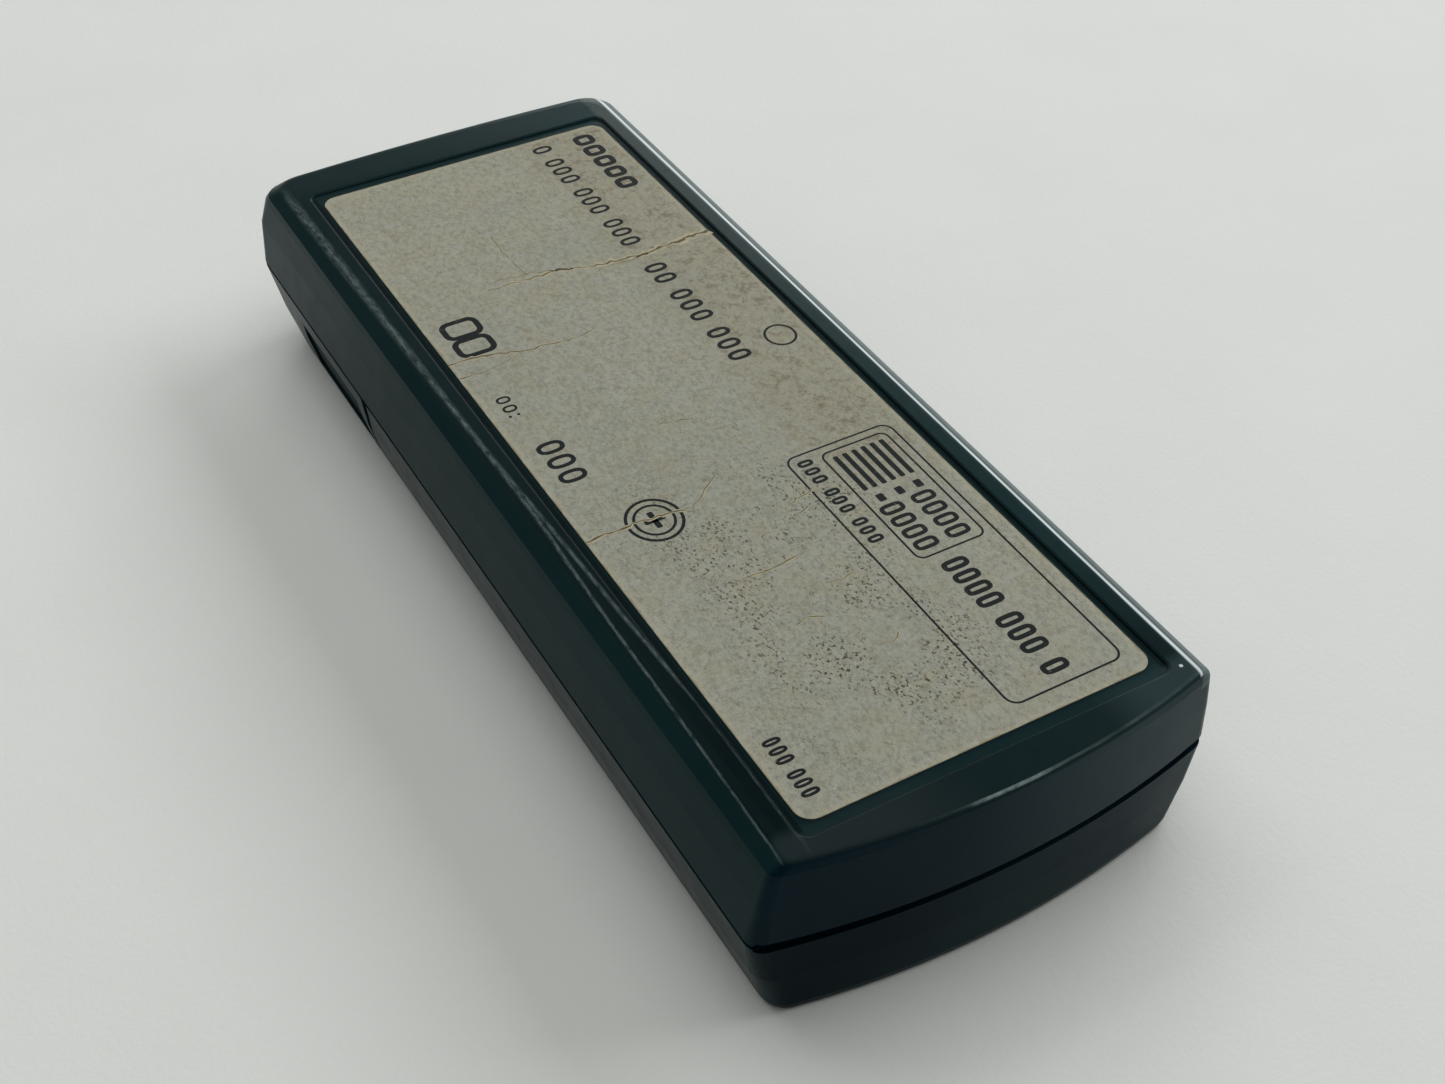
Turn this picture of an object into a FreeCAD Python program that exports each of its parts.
import FreeCAD, Part
import math, os
from FreeCAD import Vector as V

os.makedirs("parts", exist_ok=True)

# ---------------------------------------------------------------- driving sizes (mm)
# Row frame: z = 0 on the front face (the part lies on it), +Z out of the back,
# +Y towards the far (battery) end, x = 0 the middle of the width.
# Everything is drawn with y = 0 in the middle of the straight sides and moved by Y_SHIFT when it is
# saved, so that y = 0 ends up in the middle of the overall length.
Y_SHIFT = -1.35
T = 24.6            # overall thickness
Z_SPLIT = 12.2      # height of the line between the two covers
GAP = 0.5           # open line between the two covers
WALL = 1.9          # cover wall
FRONT_T = 2.0       # front face thickness
SEAT_D = 0.30       # depth of the label seat
SEAT_W, SEAT_L, SEAT_R = 44.4, 128.8, 1.2
LABEL_W, LABEL_L, LABEL_T, LABEL_R = 42.4, 125.7, 0.15, 2.0
LABEL_Y = -1.35     # middle of the label
Z_IN = 22.4         # inside of the back face

# plan outline at several heights: z, half width, near apex y, near bow radius,
# near corner radius, far apex y, far bow radius, far corner radius
SECT = [
    (0.00, 25.05, -69.35, 112.0, 2.4, 69.60, 436.0, 7.0),
    (0.35, 25.70, -69.75, 112.6, 2.9, 70.20, 436.5, 7.6),
    (1.20, 26.05, -69.95, 113.0, 2.9, 70.50, 437.0, 8.0),
    (6.50, 27.40, -70.22, 114.6, 2.4, 71.85, 437.0, 5.9),
    (Z_SPLIT, 28.30, -70.35, 116.2, 2.0, 73.00, 437.0, 3.6),
    (18.00, 27.50, -70.50, 112.0, 1.5, 73.30, 437.0, 2.6),
    (22.00, 26.80, -70.60, 109.0, 1.4, 72.30, 437.0, 3.2),
    (23.00, 26.55, -70.62, 108.5, 1.4, 71.50, 437.0, 3.4),
    (24.02, 25.45, -70.64, 102.5, 1.3, 70.40, 436.0, 3.6),
    (24.30, 25.10, -70.58, 100.0, 1.1, 70.00, 436.0, 3.6),
    (24.47, 24.75, -70.44, 99.8, 1.0, 69.60, 436.0, 3.7),
    (24.56, 24.35, -70.20, 99.6, 0.9, 69.20, 436.0, 3.8),
    (T, 23.90, -69.90, 99.4, 0.8, 68.75, 436.0, 3.9),
]

BOARD_Z0, BOARD_T = 15.4, 1.6
BOARD_W, BOARD_Y0, BOARD_Y1 = 46.4, -65.0, 64.0

CASE_SCREWS = [(-20.3, -60.0), (20.3, -60.0), (-20.3, 26.5), (20.3, 26.5)]
BOARD_SCREWS = [(-19.5, -16.0), (19.5, -16.0)]

DOOR_Y = 32.6       # the door's edge line at the cover split
DOOR_RAKE = 3.0     # how far the edge line leans towards the far end at the front face
DOOR_GAP_TOP, DOOR_GAP_LOW = 2.0, 0.5
DOOR_WALL = 1.6
BAY_X = 24.6        # half width inside the battery bay
CELL_R, CELL_L = 5.2, 43.7
CELL_Y = (41.6, 52.6)
CELL_Z = 8.1

CALL_KEY_Y, CALL_KEY_L, CALL_KEY_W = -3.0, 26.0, 15.0
ACK_X, ACK_Y, ACK_R = -12.5, 17.0, 4.0
PWR_X, PWR_Y = 12.5, 17.0
PWR_TRAVEL = 3.0
LED_X, LED_Y = 0.0, 19.0
KEY_SINK = 0.5      # key faces sit this far inside the front face
KEY_TRAVEL = 0.6
KEY_CLEAR = 0.3
SOUNDER_Y, SOUNDER_R, SOUNDER_H = -32.0, 12.0, 7.0
ROD_Y, ROD_Z, ROD_R, ROD_L = -52.0, 9.0, 4.0, 43.0


# ---------------------------------------------------------------- helpers
def box(x0, x1, y0, y1, z0, z1):
    return Part.makeBox(x1 - x0, y1 - y0, z1 - z0, V(x0, y0, z0))


def cyl(x, y, z0, z1, r):
    return Part.makeCylinder(r, z1 - z0, V(x, y, z0), V(0, 0, 1))


def cylx(x0, x1, y, z, r):
    return Part.makeCylinder(r, x1 - x0, V(x0, y, z), V(1, 0, 0))


def rbox(cx, cy, w, l, r, z0, z1):
    b = box(cx - w / 2, cx + w / 2, cy - l / 2, cy + l / 2, z0, z1)
    ed = [e for e in b.Edges
          if abs(e.Vertexes[0].Z - e.Vertexes[1].Z) > 1e-6]
    return b.makeFillet(r, ed)


def rwire(cx, cy, w, l, r, z):
    """Rounded rectangle outline at one height."""
    x, y, k = w / 2, l / 2, r * (1 - math.sqrt(0.5))

    def p(px, py):
        return V(cx + px, cy + py, z)
    e = []
    for sx, sy in ((1, 1), (-1, 1), (-1, -1), (1, -1)):
        a, m, b = p(sx * x, sy * (y - r)), p(sx * (x - k), sy * (y - k)), p(sx * (x - r), sy * y)
        if sx * sy < 0:
            a, b = b, a
        e.append((a, m, b))
    out = []
    for i, (a, m, b) in enumerate(e):
        out.append(Part.Arc(a, m, b).toShape())
        out.append(Part.makeLine(b, e[(i + 1) % 4][0]))
    return Part.Wire(out)


def stadium(cx, cy, w, l, z0, z1):
    """Slot shape, long along X when w > l."""
    if w >= l:
        r = l / 2
        s = box(cx - w / 2 + r, cx + w / 2 - r, cy - r, cy + r, z0, z1)
        s = s.fuse([cyl(cx - w / 2 + r, cy, z0, z1, r), cyl(cx + w / 2 - r, cy, z0, z1, r)])
    else:
        r = w / 2
        s = box(cx - r, cx + r, cy - l / 2 + r, cy + l / 2 - r, z0, z1)
        s = s.fuse([cyl(cx, cy - l / 2 + r, z0, z1, r), cyl(cx, cy + l / 2 - r, z0, z1, r)])
    return s.removeSplitter()


def params(z):
    if z <= SECT[0][0]:
        return SECT[0][1:]
    if z >= SECT[-1][0]:
        return SECT[-1][1:]
    for a, b in zip(SECT, SECT[1:]):
        if a[0] <= z <= b[0]:
            t = (z - a[0]) / (b[0] - a[0])
            return tuple(p + (q - p) * t for p, q in zip(a[1:], b[1:]))


def wire(z, p, inset=0.0):
    hw, yn, Rn, rn, yf, Rf, rf = p
    hw -= inset
    yn += inset
    yf -= inset
    Rn -= inset
    Rf -= inset
    rn = max(rn - inset, 0.5)
    rf = max(rf - inset, 0.5)
    cn = yn + Rn                       # bow centres
    cf = yf - Rf
    yc_n = cn - math.sqrt((Rn - rn) ** 2 - (hw - rn) ** 2)
    yc_f = cf + math.sqrt((Rf - rf) ** 2 - (hw - rf) ** 2)

    def tang(cx, cy, by, R):
        dx, dy = cx, cy - by
        n = math.hypot(dx, dy)
        return (dx / n * R, by + dy / n * R)
    tnx, tny = tang(hw - rn, yc_n, cn, Rn)
    tfx, tfy = tang(hw - rf, yc_f, cf, Rf)

    def mid(cx, cy, r, ax, ay, bx, by):
        mx, my = (ax + bx) / 2 - cx, (ay + by) / 2 - cy
        n = math.hypot(mx, my)
        return V(cx + mx / n * r, cy + my / n * r, z)
    pts = dict(
        nl=V(-tnx, tny, z), nr=V(tnx, tny, z), rn=V(hw, yc_n, z), rf=V(hw, yc_f, z),
        fr=V(tfx, tfy, z), fl=V(-tfx, tfy, z), lf=V(-hw, yc_f, z), ln=V(-hw, yc_n, z))
    e = [
        Part.Arc(pts["nl"], V(0, yn, z), pts["nr"]).toShape(),
        Part.Arc(pts["nr"], mid(hw - rn, yc_n, rn, tnx, tny, hw, yc_n), pts["rn"]).toShape(),
        Part.makeLine(pts["rn"], pts["rf"]),
        Part.Arc(pts["rf"], mid(hw - rf, yc_f, rf, hw, yc_f, tfx, tfy), pts["fr"]).toShape(),
        Part.Arc(pts["fr"], V(0, yf, z), pts["fl"]).toShape(),
        Part.Arc(pts["fl"], mid(-(hw - rf), yc_f, rf, -hw, yc_f, -tfx, tfy), pts["lf"]).toShape(),
        Part.makeLine(pts["lf"], pts["ln"]),
        Part.Arc(pts["ln"], mid(-(hw - rn), yc_n, rn, -tnx, tny, -hw, yc_n), pts["nl"]).toShape(),
    ]
    return Part.Wire(e)


def body(z0, z1, inset=0.0):
    """Solid between two heights following the section table."""
    zs = [z0] + [s[0] for s in SECT if z0 < s[0] < z1] + [z1]
    out = None
    for a, b in zip(zs, zs[1:]):
        s = Part.makeLoft([wire(a, params(a), inset), wire(b, params(b), inset)], True, True)
        out = s if out is None else out.fuse(s)
    return out


def straight(z0, z1, pz, inset):
    """Prism of one section."""
    w0 = wire(z0, params(pz), inset)
    return Part.Face(w0).extrude(V(0, 0, z1 - z0))


def save(shape, node, clean=True):
    if clean:
        shape = shape.removeSplitter()
    shape = shape.copy()
    shape.translate(V(0, Y_SHIFT, 0))
    sol = shape.Solids
    assert sol, node
    for s in sol:
        assert s.isValid() and s.isClosed() and s.Volume > 0, node
    out = sol[0] if len(sol) == 1 else Part.makeCompound(sol)
    out.exportStep("parts/%s.step" % node)
    bb = out.BoundBox
    print("%-20s solids %d vol %9.2f  x %.2f..%.2f y %.2f..%.2f z %.2f..%.2f" % (
        node, len(sol), out.Volume, bb.XMin, bb.XMax, bb.YMin, bb.YMax, bb.ZMin, bb.ZMax))
    return out


ZU = Z_SPLIT + GAP / 2      # lower edge of the rear cover
ZL = Z_SPLIT - GAP / 2      # upper edge of the front cover

def end_groove(z_low, z_mid, z_side):
    """Wider open line between the covers across the near end; its upper edge bows up at the corners."""
    a = Part.Arc(V(-34, -80, z_side), V(0, -80, z_mid), V(34, -80, z_side)).toShape()
    w = Part.Wire([Part.makeLine(V(-34, -80, z_low), V(-34, -80, z_side)), a,
                   Part.makeLine(V(34, -80, z_side), V(34, -80, z_low)),
                   Part.makeLine(V(34, -80, z_low), V(-34, -80, z_low))])
    g = Part.Face(w).extrude(V(0, 13.6, 0))
    return g.cut(straight(ZL - 3, ZU + 3, Z_SPLIT, 1.05))


# ---------------------------------------------------------------- rear cover
rear = body(ZU, T)
rear = rear.cut(body(ZU - 0.0, Z_IN, WALL).fuse(straight(ZU - 1.0, ZU + 0.01, ZU, WALL)))
rear = rear.cut(straight(ZU - 1.0, ZU + 1.5, ZU, 1.0))           # rebate for the lip
rear = rear.cut(rbox(0, LABEL_Y, SEAT_W, SEAT_L, SEAT_R, T - SEAT_D, T + 1))
rim = Part.makeLoft([rwire(0, LABEL_Y, SEAT_W, SEAT_L, SEAT_R, T - 0.16),
                     rwire(0, LABEL_Y, SEAT_W + 0.6, SEAT_L + 0.6, SEAT_R + 0.3, T + 0.01)], True, True)
rear = rear.cut(rim)
for x, y in CASE_SCREWS:
    rear = rear.fuse(cyl(x, y, BOARD_Z0 + BOARD_T + 0.1, Z_IN + 0.3, 3.0))
for x, y in BOARD_SCREWS:
    rear = rear.fuse(cyl(x, y, BOARD_Z0 + BOARD_T, Z_IN + 0.3, 2.6))
for x, y in CASE_SCREWS:
    rear = rear.cut(cyl(x, y, 12.0, 22.0, 1.25))
for x, y in BOARD_SCREWS:
    rear = rear.cut(cyl(x, y, 12.0, 21.5, 1.05))
rear = rear.cut(end_groove(ZL - 0.5, 12.62, 13.2))
# stiffening ribs across the inside of the back
for y in (-40.0, 2.0):
    rear = rear.fuse(box(-24.2, 24.2, y - 0.5, y + 0.5, 21.6, Z_IN + 0.3))
save(rear, "rear_cover")

# ---------------------------------------------------------------- rating label
label = rbox(0, LABEL_Y, LABEL_W, LABEL_L, LABEL_R, T - SEAT_D, T - SEAT_D + LABEL_T)
save(label, "rating_label")


# ---------------------------------------------------------------- front cover
def rake(y_top, y_low, y_end):
    """Prism whose near face leans: y_top at the split, y_low at the front face."""
    s = (y_low - y_top) / Z_SPLIT
    za, zb = -2.0, 16.0
    ya = y_low + 2.0 * s
    yb = y_top - (zb - Z_SPLIT) * s
    w = Part.makePolygon([V(-40, ya, za), V(-40, y_end, za), V(-40, y_end, zb), V(-40, yb, zb), V(-40, ya, za)])
    return Part.Face(w).extrude(V(80, 0, 0))


shell_out = body(0.0, ZL)
cavity = body(FRONT_T, Z_SPLIT, WALL).fuse(straight(ZL - 0.1, 20.0, Z_SPLIT, WALL))
front = shell_out.cut(cavity)
lip = straight(ZL - 1.4, ZU + 1.2, Z_SPLIT, 1.15).cut(straight(ZL - 3, ZU + 3, Z_SPLIT, WALL))
lip = lip.cut(box(-40, 40, DOOR_Y - 2.5, 90, 0, 30))
cut_front = rake(DOOR_Y - DOOR_GAP_TOP / 2, DOOR_Y + DOOR_RAKE - DOOR_GAP_LOW / 2, 90)
front = front.cut(cut_front).cut(end_groove(11.62, 12.62, 13.2)).fuse(lip)
# bulkhead and battery bay behind the door
inner_fill = body(0.8, ZL, 1.0)
bulk = inner_fill.common(box(-40, 40, DOOR_Y - 3.0, DOOR_Y - 1.2, 1.0, ZL))
bulk = bulk.fuse(box(-25.4, 25.4, DOOR_Y - 3.0, DOOR_Y - 1.2, ZL - 0.5, 15.0))
bay = box(-25.5, 25.5, DOOR_Y - 3.0, 60.2, 13.6, 15.0)
for s in (-1, 1):
    xa, xb = sorted((s * BAY_X, s * 25.5))
    bay = bay.fuse(box(xa, xb, DOOR_Y - 1.3, 60.2, 8.0, 13.7))
    xa, xb = sorted((s * 25.4, s * 25.95))
    bay = bay.fuse(box(xa, xb, DOOR_Y + 1.5, 60.2, 9.6, 10.6))
bay = bay.fuse(box(-25.5, 25.5, 58.8, 60.2, 8.0, 13.7)).fuse(box(-24.2, 24.2, 58.8, 60.2, 3.2, 8.1))
bay = bay.fuse(box(-0.6 - 8, 0.6 - 8, 60.1, 66.0, 12.8, 14.8)).fuse(box(-0.6 + 8, 0.6 + 8, 60.1, 66.0, 12.8, 14.8))
front = front.fuse([bulk, bay])
# posts for the case screws
for x, y in CASE_SCREWS:
    front = front.fuse(cyl(x, y, 1.0, BOARD_Z0 - 0.1, 3.4))
# collars: keys, sounder, switch pad
front = front.fuse(cyl(0, SOUNDER_Y, 1.0, 6.5, SOUNDER_R + 1.4).cut(cyl(0, SOUNDER_Y, 0, 8, SOUNDER_R + 0.2)))
front = front.fuse(rbox(PWR_X, PWR_Y, 11.0, 17.0, 1.0, 1.0, 3.4))
# openings
for x, y in CASE_SCREWS:
    front = front.cut(cyl(x, y, -1, 8.0, 2.5)).cut(cyl(x, y, 0, 20, 1.35))
front = front.cut(stadium(0, CALL_KEY_Y, CALL_KEY_L, CALL_KEY_W, -1, 3))
front = front.cut(cyl(ACK_X, ACK_Y, -1, 3, ACK_R))
front = front.cut(cyl(LED_X, LED_Y, -1, 3, 2.0))
front = front.cut(rbox(PWR_X, PWR_Y, 7.4, 13.0, 1.0, -1, 2.2))
front = front.cut(box(PWR_X - 1.7, PWR_X + 1.7, PWR_Y - 3.1, PWR_Y + 3.1, 0, 5))
for k in range(-3, 4):
    half = math.sqrt(8.6 ** 2 - (k * 2.4) ** 2)
    front = front.cut(stadium(0, SOUNDER_Y + k * 2.4, 2 * half, 1.2, -1, 3))
for sx in (-24.35, 24.35):          # slots for the battery contact tabs
    for yc in CELL_Y:
        front = front.cut(box(sx - 0.35, sx + 0.35, yc - 1.6, yc + 1.6, 13.0, 15.5))
front = save(front, "front_cover")

# ---------------------------------------------------------------- battery door
door = shell_out.cut(body(DOOR_WALL, Z_SPLIT, DOOR_WALL).fuse(straight(ZL - 0.05, 20, Z_SPLIT, DOOR_WALL)))
door = door.common(rake(DOOR_Y + DOOR_GAP_TOP / 2, DOOR_Y + DOOR_RAKE + DOOR_GAP_LOW / 2, 90))
rail_fill = body(0.8, ZL, 0.8)
for s in (-1, 1):                   # hooks above the bay's rails
    xa, xb = sorted((s * 25.75, s * 27.6))
    rib = box(xa, xb, 38.0, 57.0, 10.9, 11.7).common(rail_fill)
    door = door.fuse(rib)
for k in range(5):                  # finger grip grooves on the outside
    door = door.cut(stadium(0, 53.5 + k * 2.4, 22.0 - abs(k - 2) * 3.0, 1.0, -1, 0.45))
# shallow thumb recess along both sides
grip = body(1.8, 9.0).cut(body(1.6, 9.2, 0.45)).common(box(-40, 40, 37.0, 57.0, 0, 12))
grip = grip.cut(box(-20, 20, 30, 60, 0, 12))
door = door.cut(grip)
save(door, "battery_door")
save(rbox(0, 47.0, 40.0, 18.0, 1.0, DOOR_WALL, DOOR_WALL + 1.0), "door_pad")

# ---------------------------------------------------------------- call key and acknowledge key
plunger_z = 10.2
key = stadium(0, CALL_KEY_Y, CALL_KEY_L - 2 * KEY_CLEAR, CALL_KEY_W - 2 * KEY_CLEAR, KEY_SINK, 3.3)
ked = [e for e in key.Edges if abs(e.BoundBox.ZMin - KEY_SINK) < 1e-6 and abs(e.BoundBox.ZMax - KEY_SINK) < 1e-6]
key = key.makeFillet(0.5, ked)
key = key.fuse(stadium(0, CALL_KEY_Y, CALL_KEY_L + 2.0, CALL_KEY_W + 2.0, 2.3, 3.3))
key = key.cut(stadium(0, CALL_KEY_Y, CALL_KEY_L - 5.0, CALL_KEY_W - 5.0, 2.0, 3.4))
key = key.fuse(cyl(0, CALL_KEY_Y, 1.8, plunger_z, 2.4))
key = key.fuse(box(-8.5, 8.5, CALL_KEY_Y - 0.5, CALL_KEY_Y + 0.5, 1.8, 4.2))
save(key, "call_key")
ack = cyl(ACK_X, ACK_Y, KEY_SINK, 3.3, ACK_R - KEY_CLEAR)
aed = [e for e in ack.Edges if abs(e.BoundBox.ZMin - KEY_SINK) < 1e-6 and abs(e.BoundBox.ZMax - KEY_SINK) < 1e-6]
ack = ack.makeFillet(0.5, aed)
ack = ack.fuse(cyl(ACK_X, ACK_Y, 2.3, 3.3, ACK_R + 1.0))
ack = ack.fuse(cyl(ACK_X, ACK_Y, 3.0, plunger_z, 1.8))
save(ack, "ack_key")
for node, x, y in (("call_switch", 0, CALL_KEY_Y), ("ack_switch", ACK_X, ACK_Y)):
    sw = rbox(x, y, 6.0, 6.0, 0.4, 11.9, BOARD_Z0)
    sw = sw.cut(cyl(x, y, 11.0, 13.3, 1.83))
    sw = sw.fuse([box(x - 3.6, x - 2.9, y - 2.3, y - 1.6, 14.6, BOARD_Z0), box(x + 2.9, x + 3.6, y - 2.3, y - 1.6, 14.6, BOARD_Z0),
                  box(x - 3.6, x - 2.9, y + 1.6, y + 2.3, 14.6, BOARD_Z0), box(x + 2.9, x + 3.6, y + 1.6, y + 2.3, 14.6, BOARD_Z0)])
    save(sw, node)
save(cyl(0, CALL_KEY_Y, plunger_z, 12.3, 1.75), "call_plunger")
save(cyl(ACK_X, ACK_Y, plunger_z, 12.3, 1.75), "ack_plunger")

# ---------------------------------------------------------------- power slider and its switch
y0 = PWR_Y - PWR_TRAVEL / 2
knob = rbox(PWR_X, y0, 6.6, 7.0, 0.8, 0.6, 1.9)
for k in (-2, -1, 0, 1, 2):
    knob = knob.cut(box(PWR_X - 2.6, PWR_X + 2.6, y0 + k * 1.2 - 0.25, y0 + k * 1.2 + 0.25, 0, 1.0))
knob = knob.fuse(box(PWR_X - 1.4, PWR_X + 1.4, y0 - 1.3, y0 + 1.3, 1.5, 9.0))
knob = knob.fuse(box(PWR_X - 2.6, PWR_X + 2.6, y0 - 2.0, y0 + 2.0, 3.7, 4.7))
knob = knob.fuse(box(PWR_X - 0.9, PWR_X + 0.9, y0 - 0.9, y0 + 0.9, 8.8, 12.2))
save(knob, "power_knob")
psw = box(PWR_X - 3.4, PWR_X + 3.4, PWR_Y - 6.0, PWR_Y + 6.0, 11.3, BOARD_Z0)
psw = psw.cut(box(PWR_X - 1.2, PWR_X + 1.2, PWR_Y - 2.8, PWR_Y + 2.8, 11.0, 12.6))
save(psw, "power_switch")

# ---------------------------------------------------------------- indicator
lens = cyl(LED_X, LED_Y, 0.4, 8.6, 1.95).fuse(cyl(LED_X, LED_Y, FRONT_T, 3.0, 3.2))
save(lens, "led_lens")
led = cyl(LED_X, LED_Y, 10.2, 13.2, 1.5).fuse(Part.makeSphere(1.5, V(LED_X, LED_Y, 10.2)))
led = led.fuse(cyl(LED_X, LED_Y, 13.2, 14.2, 1.9))
led = led.fuse([box(LED_X - 1.5, LED_X - 1.0, LED_Y - 0.25, LED_Y + 0.25, 14.1, BOARD_Z0),
                box(LED_X + 1.0, LED_X + 1.5, LED_Y - 0.25, LED_Y + 0.25, 14.1, BOARD_Z0)])
save(led, "led")

# ---------------------------------------------------------------- circuit board
board = rbox(0, (BOARD_Y0 + BOARD_Y1) / 2, BOARD_W, BOARD_Y1 - BOARD_Y0, 1.5, BOARD_Z0, BOARD_Z0 + BOARD_T)
for x, y in CASE_SCREWS:
    board = board.cut(cyl(x, y, 10, 20, 1.6))
for x, y in BOARD_SCREWS:
    board = board.cut(cyl(x, y, 10, 20, 1.2))
board = board.cut(box(-30, -22.0, BOARD_Y1 - 6, 70, 10, 20)).cut(box(22.0, 30, BOARD_Y1 - 6, 70, 10, 20))
save(board, "circuit_board")
BT = BOARD_Z0 + BOARD_T

# ---------------------------------------------------------------- screws


def screw(x, y, z_head, head_r, head_h, shank_r, z_end):
    s = cyl(x, y, z_head, z_head + head_h, head_r)
    s = s.fuse(cyl(x, y, z_head + head_h - 0.1, z_end, shank_r))
    d = head_r * 0.75
    cross = box(x - d, x + d, y - 0.25, y + 0.25, z_head - 1, z_head + 0.7)
    cross = cross.fuse(box(x - 0.25, x + 0.25, y - d, y + d, z_head - 1, z_head + 0.7))
    return s.cut(cross)


save(Part.makeCompound([screw(x, y, 6.4, 2.3, 1.6, 1.22, 21.4) for x, y in CASE_SCREWS]), "case_screws", False)
save(Part.makeCompound([screw(x, y, BOARD_Z0 - 1.3, 1.9, 1.3, 1.02, 20.8) for x, y in BOARD_SCREWS]), "board_screws", False)

# ---------------------------------------------------------------- sounder
ring = cyl(0, SOUNDER_Y, FRONT_T, FRONT_T + 0.8, SOUNDER_R).cut(cyl(0, SOUNDER_Y, 0, 5, 9.4))
save(ring, "sounder_gasket")
can = cyl(0, SOUNDER_Y, FRONT_T + 0.8, FRONT_T + 0.8 + SOUNDER_H, SOUNDER_R - 0.1)
can = can.cut(cyl(0, SOUNDER_Y, 0, FRONT_T + 2.4, 8.2))
can = can.cut(cyl(0, SOUNDER_Y, 0, FRONT_T + 3.4, 1.4))
can = can.fuse(rbox(0, SOUNDER_Y, 12.0, 7.0, 1.0, FRONT_T + 0.7 + SOUNDER_H, FRONT_T + SOUNDER_H + 2.6))
save(can, "sounder")
pins = Part.makeCompound([cyl(-3.8, SOUNDER_Y, FRONT_T + SOUNDER_H + 2.6, BOARD_Z0, 0.35),
                          cyl(3.8, SOUNDER_Y, FRONT_T + SOUNDER_H + 2.6, BOARD_Z0, 0.35)])
save(pins, "sounder_pins", False)

# ---------------------------------------------------------------- ferrite aerial
save(cylx(-ROD_L / 2, ROD_L / 2, ROD_Y, ROD_Z, ROD_R), "ferrite_rod")
coil = None
for k in range(18):
    t = cylx(-9.0 + k * 1.0, -9.0 + k * 1.0 + 0.9, ROD_Y, ROD_Z, ROD_R + 0.9)
    coil = t if coil is None else coil.fuse(t)
coil = coil.fuse(cylx(-9.6, 9.5, ROD_Y, ROD_Z, ROD_R + 0.45)).cut(cylx(-12, 12, ROD_Y, ROD_Z, ROD_R + 0.02))
save(coil, "aerial_coil")
clips = []
for sx in (-14.5, 14.5):
    c = box(sx - 1.6, sx + 1.6, ROD_Y - 5.4, ROD_Y + 5.4, ROD_Z - 2.6, BOARD_Z0)
    c = c.cut(cylx(sx - 3, sx + 3, ROD_Y, ROD_Z, ROD_R + 0.02))
    clips.append(c)
save(Part.makeCompound(clips), "aerial_clips", False)

# ---------------------------------------------------------------- parts on the back of the board
xt = rbox(-14.0, 44.0, 10.8, 4.6, 2.25, BT, BT + 3.4)
xt = xt.fuse(rbox(-14.0, 44.0, 11.6, 5.2, 2.5, BT, BT + 0.4))
save(xt, "crystal")


def soic(cx, cy, w, l, h, n, pitch, along_y=True):
    b = box(cx - w / 2, cx + w / 2, cy - l / 2, cy + l / 2, BT + 0.15, BT + h)
    b = b.cut(cyl(cx - w / 2 + 1.2, cy - l / 2 + 1.2, BT + h - 0.15, BT + h + 1, 0.5))
    legs = []
    for k in range(n):
        yy = cy - (n - 1) * pitch / 2 + k * pitch
        for s in (-1, 1):
            xa, xb = sorted((cx + s * w / 2 - s * 0.1, cx + s * (w / 2 + 0.7)))
            legs.append(box(xa, xb, yy - 0.2, yy + 0.2, BT + h / 2 - 0.1, BT + h / 2 + 0.15))
            xa, xb = sorted((cx + s * (w / 2 + 0.5), cx + s * (w / 2 + 0.7)))
            legs.append(box(xa, xb, yy - 0.2, yy + 0.2, BT, BT + h / 2 + 0.15))
            xa, xb = sorted((cx + s * (w / 2 + 0.5), cx + s * (w / 2 + 1.3)))
            legs.append(box(xa, xb, yy - 0.2, yy + 0.2, BT, BT + 0.2))
    return b.fuse(legs)


save(soic(10.0, -32.0, 7.5, 12.8, 2.5, 8, 1.27), "receiver_chip")
save(soic(-9.0, 20.0, 7.5, 17.8, 2.5, 12, 1.27), "decoder_chip")
cans = []
for x, y in ((-13.0, -50.0), (-3.0, -50.0), (7.0, -50.0)):
    c = box(x - 3.6, x + 3.6, y - 3.6, y + 3.6, BT, BT + 4.6)
    c = c.cut(cyl(x, y, BT + 3.6, BT + 6, 1.7)).fuse(cyl(x, y, BT + 3.0, BT + 4.3, 1.4))
    c = c.cut(box(x - 1.1, x + 1.1, y - 0.2, y + 0.2, BT + 3.9, BT + 5))
    cans.append(c)
save(Part.makeCompound(cans), "filter_cans", False)
trim = cyl(17.5, -48.0, BT, BT + 3.0, 3.0)
trim = trim.fuse(cyl(17.5, -48.0, BT + 2.9, BT + 3.6, 2.0)).cut(box(15.9, 19.1, -48.3, -47.7, BT + 3.2, BT + 5))
save(trim, "trimmer")
caps = []
for x, y in ((14.0, 6.0), (14.0, 13.0), (6.0, 44.0)):
    c = cylx(x - 5.5, x + 5.5, y, BT + 2.3, 2.3)
    c = c.cut(cylx(x + 4.0, x + 4.5, y, BT + 2.3, 2.6).cut(cylx(x + 3.9, x + 4.6, y, BT + 2.3, 2.05)))
    caps.append(c)
save(Part.makeCompound(caps), "capacitors", False)
res = []
for i in range(5):
    for j in range(2):
        x, y = -15.0 + j * 5.0, -36.0 + i * 3.0
        res.append(box(x - 1.6, x + 1.6, y - 0.8, y + 0.8, BT, BT + 0.6))
for i in range(4):
    x, y = 4.0 + i * 4.2, 34.0
    res.append(box(x - 1.6, x + 1.6, y - 0.8, y + 0.8, BT, BT + 0.6))
save(Part.makeCompound(res), "chip_resistors", False)
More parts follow.
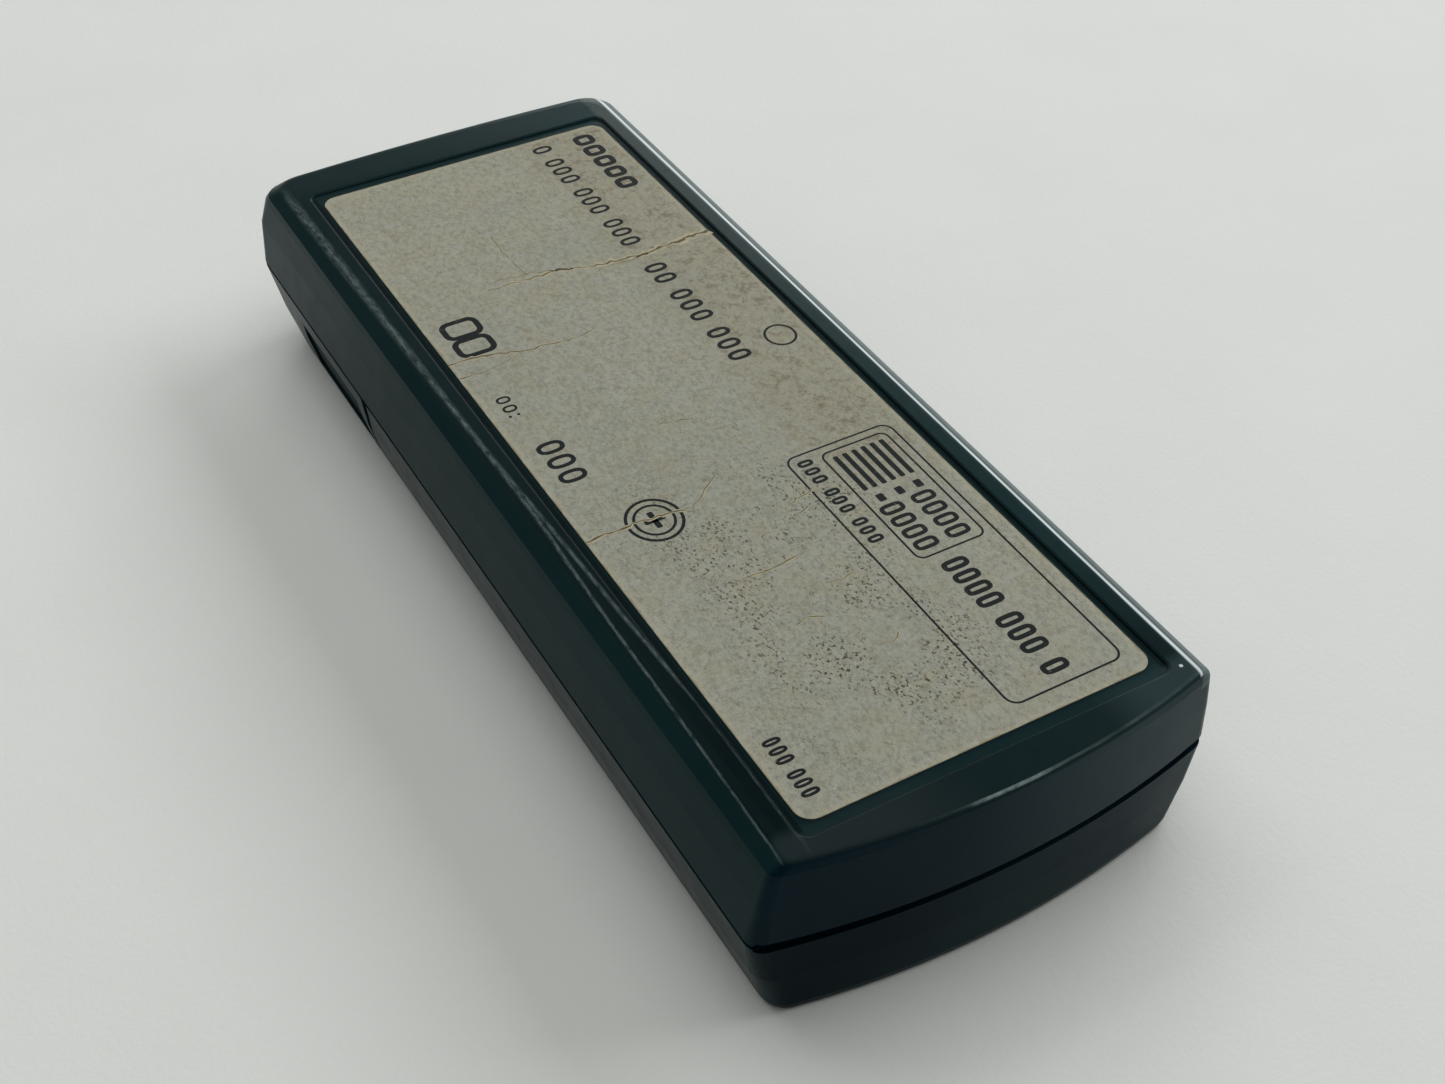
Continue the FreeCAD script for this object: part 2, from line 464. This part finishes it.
# vibrating alert: motor held by a strap, weight on its shaft
MOT_X, MOT_Z, MOT_R = 15.5, BT + 2.5, 2.2
mot = Part.makeCylinder(MOT_R, 11.0, V(MOT_X, 45.0, MOT_Z), V(0, 1, 0))
me = [e for e in mot.Edges if e.Curve.TypeId == "Part::GeomCircle"]
mot = mot.makeFillet(0.3, me)
mot = mot.fuse(Part.makeCylinder(0.9, 0.6, V(MOT_X, 55.9, MOT_Z), V(0, 1, 0)))
mot = mot.cut(Part.makeCylinder(0.45, 6.0, V(MOT_X, 53.0, MOT_Z), V(0, 1, 0)))
save(mot, "vibrator_motor")
strap = box(MOT_X - 2.6, MOT_X + 2.6, 48.0, 52.0, BT, MOT_Z).fuse(Part.makeCylinder(2.6, 4.0, V(MOT_X, 48.0, MOT_Z), V(0, 1, 0)))
strap = strap.cut(Part.makeCylinder(MOT_R + 0.02, 8.0, V(MOT_X, 46.0, MOT_Z), V(0, 1, 0)))
strap = strap.cut(box(MOT_X - 1.6, MOT_X + 1.6, 47.0, 53.0, BT - 1, MOT_Z - 1.4))
strap = strap.fuse([box(MOT_X - 4.6, MOT_X - 2.0, 48.0, 52.0, BT, BT + 0.4), box(MOT_X + 2.0, MOT_X + 4.6, 48.0, 52.0, BT, BT + 0.4)])
strap = strap.cut(Part.makeCylinder(MOT_R + 0.02, 8.0, V(MOT_X, 46.0, MOT_Z), V(0, 1, 0)))
save(strap, "motor_strap")
wt = Part.makeCylinder(2.2, 3.2, V(MOT_X, 57.0, MOT_Z), V(0, 1, 0))
wt = wt.cut(box(MOT_X - 4, MOT_X + 4, 56, 61, MOT_Z + 0.6, MOT_Z + 4))
wt = wt.cut(Part.makeCylinder(0.38, 8.0, V(MOT_X, 55.0, MOT_Z), V(0, 1, 0)))
save(wt, "vibrator_weight")
save(Part.makeCylinder(0.38, 6.6, V(MOT_X, 53.4, MOT_Z), V(0, 1, 0)), "motor_shaft")

# ---------------------------------------------------------------- battery cells and contacts
cells, nubs = [], 1.9
for i, y in enumerate(CELL_Y):
    s = -1 if i == 0 else 1         # which way the positive end points
    x0 = -CELL_L / 2 + 0.45 * s
    c = cylx(x0, x0 + CELL_L, y, CELL_Z, CELL_R)
    ce = [e for e in c.Edges if e.Curve.TypeId == "Part::GeomCircle"]
    c = c.makeFillet(0.5, ce)
    if s > 0:
        c = c.fuse(cylx(x0 + CELL_L - 0.1, x0 + CELL_L + 0.8, y, CELL_Z, nubs))
    else:
        c = c.fuse(cylx(x0 - 0.8, x0 + 0.1, y, CELL_Z, nubs))
    cells.append(c)
save(Part.makeCompound(cells), "battery_cells", False)
plates, springs = [], []
for i, y in enumerate(CELL_Y):
    s = -1 if i == 0 else 1
    for e in (-1, 1):
        xa, xb = sorted((e * 24.15, e * 24.55))
        p = box(xa, xb, y - 4.0, y + 4.0, 4.5, 12.6).fuse(box(xa, xb, y - 1.4, y + 1.4, 12.5, BOARD_Z0))
        if e == s:                  # flat contact with a raised pad that meets the nub
            xn = s * (CELL_L / 2 + 0.45 + 0.8)
            xc, xd = sorted((xn, e * 24.2))
            p = p.fuse(cylx(xc, xd, y, CELL_Z, 2.4))
        plates.append(p)
    e = -s
    xi = -s * (CELL_L / 2 - 0.45)   # flat end of the cell
    gap = 24.15 - abs(xi)
    h = Part.makeHelix(gap / 3.0, gap - 0.6, 3.0)
    prof = Part.Wire([Part.makeCircle(0.28, V(3.0, 0, 0), V(0, 1, 0))])
    sp = Part.Wire(h).makePipeShell([prof], True, True)
    if not isinstance(sp, Part.Solid):
        sp = Part.Solid(sp) if sp.ShapeType == "Shell" else sp
    sp.translate(V(0, 0, 0.3))
    sp.rotate(V(0, 0, 0), V(0, 1, 0), 90 if e < 0 else -90)
    sp.translate(V(e * 24.15, y, CELL_Z))
    springs.append(sp)
save(Part.makeCompound(plates), "battery_contacts", False)
save(Part.makeCompound(springs), "battery_springs", False)
